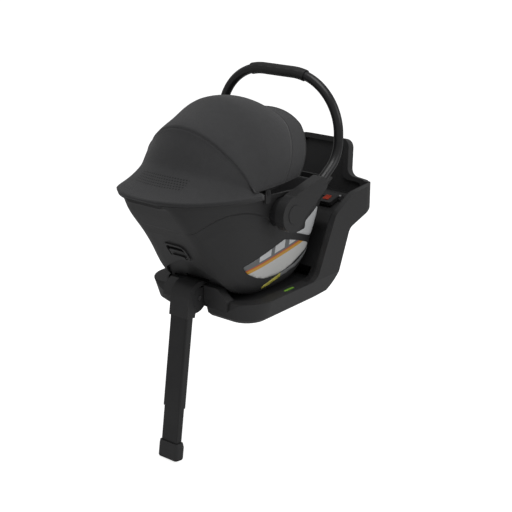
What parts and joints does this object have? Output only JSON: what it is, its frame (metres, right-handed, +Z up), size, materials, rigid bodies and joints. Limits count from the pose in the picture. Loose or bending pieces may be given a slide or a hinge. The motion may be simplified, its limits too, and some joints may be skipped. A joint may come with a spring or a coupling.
{
  "type": "infant car seat",
  "caption": "Rear-facing infant carrier with carry handle and folding canopy, on a base with load leg, rebound panel and lower-anchor connectors.",
  "frame": {"origin": "in the leg bay of the base, in the middle of its width, 15 mm above the plane of the sole and 256 mm behind the base's front edge", "axes": "+Z up, +X towards the carrier's left flank, -Y towards the head end and load leg, +Y towards the rebound panel"},
  "size_m": [0.43, 0.7783, 0.9717],
  "materials": {
    "base_plastic": "fine moulded grain",
    "shell_plastic": "fine moulded grain",
    "satin_tube": "satin black coat",
    "steel": "zinc plated",
    "rubber": "matt",
    "grip_leather": "stitched sleeve",
    "canopy_fabric": "plain weave",
    "pad_fabric": "knit",
    "webbing": "ribbed webbing",
    "green_window": "clear over green",
    "blue_marker": "gloss",
    "red_button": "gloss"
  },
  "bodies": {
    "base": {"base_shell": "base_plastic", "base_liner": "base_plastic", "leg_bracket": "base_plastic", "base_screws": "steel", "base_grip_pads": "rubber", "level_windows": "green_window", "lockoff_pin": "steel", "latch_bar_front": "steel", "latch_bar_rear": "steel", "leg_hinge_pin": "steel", "leg_window": "green_window"},
    "lockoff": {"lockoff_arm": "base_plastic", "belt_marker": "blue_marker"},
    "lockoff_button": {"lockoff_button": "red_button"},
    "anchor_left": {"anchor_connector_left": "steel"},
    "anchor_right": {"anchor_connector_right": "steel"},
    "anchor_button_left": {"anchor_button_left": "red_button"},
    "anchor_button_right": {"anchor_button_right": "red_button"},
    "leg": {"leg_elbow": "base_plastic", "leg_upper_tube": "satin_tube"},
    "leg_button": {"leg_button": "base_plastic"},
    "leg_extension": {"leg_lower_tube": "satin_tube", "leg_foot": "base_plastic", "leg_sole": "rubber"},
    "carrier": {"carrier_shell": "shell_plastic", "rim_trim": "shell_plastic", "release_bezel": "shell_plastic", "hub_drum_left": "shell_plastic", "hub_drum_right": "shell_plastic", "hub_pin_left": "steel", "hub_pin_right": "steel", "belt_guide_left": "shell_plastic", "belt_guide_right": "shell_plastic", "canopy_rear_panel": "canopy_fabric", "canopy_rear_bow": "shell_plastic", "canopy_tab_left": "shell_plastic", "canopy_tab_right": "shell_plastic", "canopy_rivet_left": "steel", "canopy_rivet_right": "steel", "seat_pad": "pad_fabric", "head_bolster": "pad_fabric", "harness_straps": "webbing", "crotch_strap": "webbing", "buckle": "shell_plastic"},
    "handle": {"handle_bracket_left": "shell_plastic", "handle_bracket_right": "shell_plastic", "handle_tube": "satin_tube", "handle_grip": "grip_leather"},
    "handle_button_left": {"handle_button_left": "shell_plastic"},
    "handle_button_right": {"handle_button_right": "shell_plastic"},
    "canopy": {"canopy_middle_bow": "shell_plastic", "canopy_front_bow": "shell_plastic", "canopy_visor_panel": "canopy_fabric", "canopy_middle_panel": "canopy_fabric"},
    "release_lever": {"release_lever": "shell_plastic"},
    "latch_front": {"latch_hook_front": "steel"},
    "latch_rear": {"latch_hook_rear": "steel"},
    "buckle_button": {"buckle_button": "red_button"},
    "harness_adjuster": {"harness_adjuster": "shell_plastic"}
  },
  "joints": [
    {"name": "leg_fold", "type": "hinge", "parent": "base", "child": "leg", "pos_m": [0, -0.268, 0.044], "axis": [1, 0, 0], "range_deg": [0, 96]},
    {"name": "leg_extend", "type": "slide", "parent": "leg", "child": "leg_extension", "axis": [0, -0.1478, -0.989], "range_m": [-0.07, 0.12]},
    {"name": "leg_button_press", "type": "slide", "parent": "leg", "child": "leg_button", "axis": [0, -0.989, 0.1478], "range_m": [0, 0.0015], "stiffness_N_per_m": 400},
    {"name": "lockoff_swing", "type": "hinge", "parent": "base", "child": "lockoff", "pos_m": [0, 0.22896, 0.213], "axis": [-1, 0, 0], "range_deg": [0, 60]},
    {"name": "lockoff_button_press", "type": "slide", "parent": "lockoff", "child": "lockoff_button", "axis": [0, 0.2542, -0.9671], "range_m": [0, 0.003], "stiffness_N_per_m": 400},
    {"name": "anchor_left_slide", "type": "slide", "parent": "base", "child": "anchor_left", "axis": [0, 1, 0], "range_m": [-0.009, 0.04]},
    {"name": "anchor_right_slide", "type": "slide", "parent": "base", "child": "anchor_right", "axis": [0, 1, 0], "range_m": [-0.009, 0.04]},
    {"name": "anchor_button_left_press", "type": "slide", "parent": "anchor_left", "child": "anchor_button_left", "axis": [0, 0, -1], "range_m": [0, 0.0015], "stiffness_N_per_m": 400},
    {"name": "anchor_button_right_press", "type": "slide", "parent": "anchor_right", "child": "anchor_button_right", "axis": [0, 0, -1], "range_m": [0, 0.0015], "stiffness_N_per_m": 400},
    {"name": "carrier_lift", "type": "slide", "parent": "base", "child": "carrier", "axis": [0, 0, 1], "range_m": [0, 0.35]},
    {"name": "handle_turn", "type": "hinge", "parent": "carrier", "child": "handle", "pos_m": [0, -0.116, 0.264], "axis": [1, 0, 0], "range_deg": [-30, 105]},
    {"name": "handle_button_left_press", "type": "slide", "parent": "handle", "child": "handle_button_left", "axis": [-1, 0, 0], "range_m": [0, 0.005], "stiffness_N_per_m": 400},
    {"name": "handle_button_right_press", "type": "slide", "parent": "handle", "child": "handle_button_right", "axis": [1, 0, 0], "range_m": [0, 0.005], "stiffness_N_per_m": 400},
    {"name": "canopy_fold", "type": "hinge", "parent": "carrier", "child": "canopy", "pos_m": [0, -0.176, 0.327], "axis": [1, 0, 0], "range_deg": [0, 55], "deforming": ["canopy_middle_panel", "canopy_visor_panel", "canopy_rear_panel"]},
    {"name": "release_pull", "type": "slide", "parent": "carrier", "child": "release_lever", "axis": [0, -0.5677, 0.8232], "range_m": [0, 0.012], "stiffness_N_per_m": 600},
    {"name": "latch_front_slide", "type": "slide", "parent": "carrier", "child": "latch_front", "axis": [0, -1, 0], "range_m": [0, 0.008]},
    {"name": "latch_rear_slide", "type": "slide", "parent": "carrier", "child": "latch_rear", "axis": [0, -1, 0], "range_m": [0, 0.008]},
    {"name": "buckle_press", "type": "slide", "parent": "carrier", "child": "buckle_button", "axis": [0, 0, -1], "range_m": [0, 0.003], "stiffness_N_per_m": 400},
    {"name": "adjuster_press", "type": "slide", "parent": "carrier", "child": "harness_adjuster", "axis": [0, 0.6, -0.8], "range_m": [0, 0.0015], "stiffness_N_per_m": 400}
  ],
  "couplings": [
    {"joint": "latch_front_slide", "follows": "release_pull", "ratio": 0.66667},
    {"joint": "latch_rear_slide", "follows": "release_pull", "ratio": 0.66667}
  ]
}
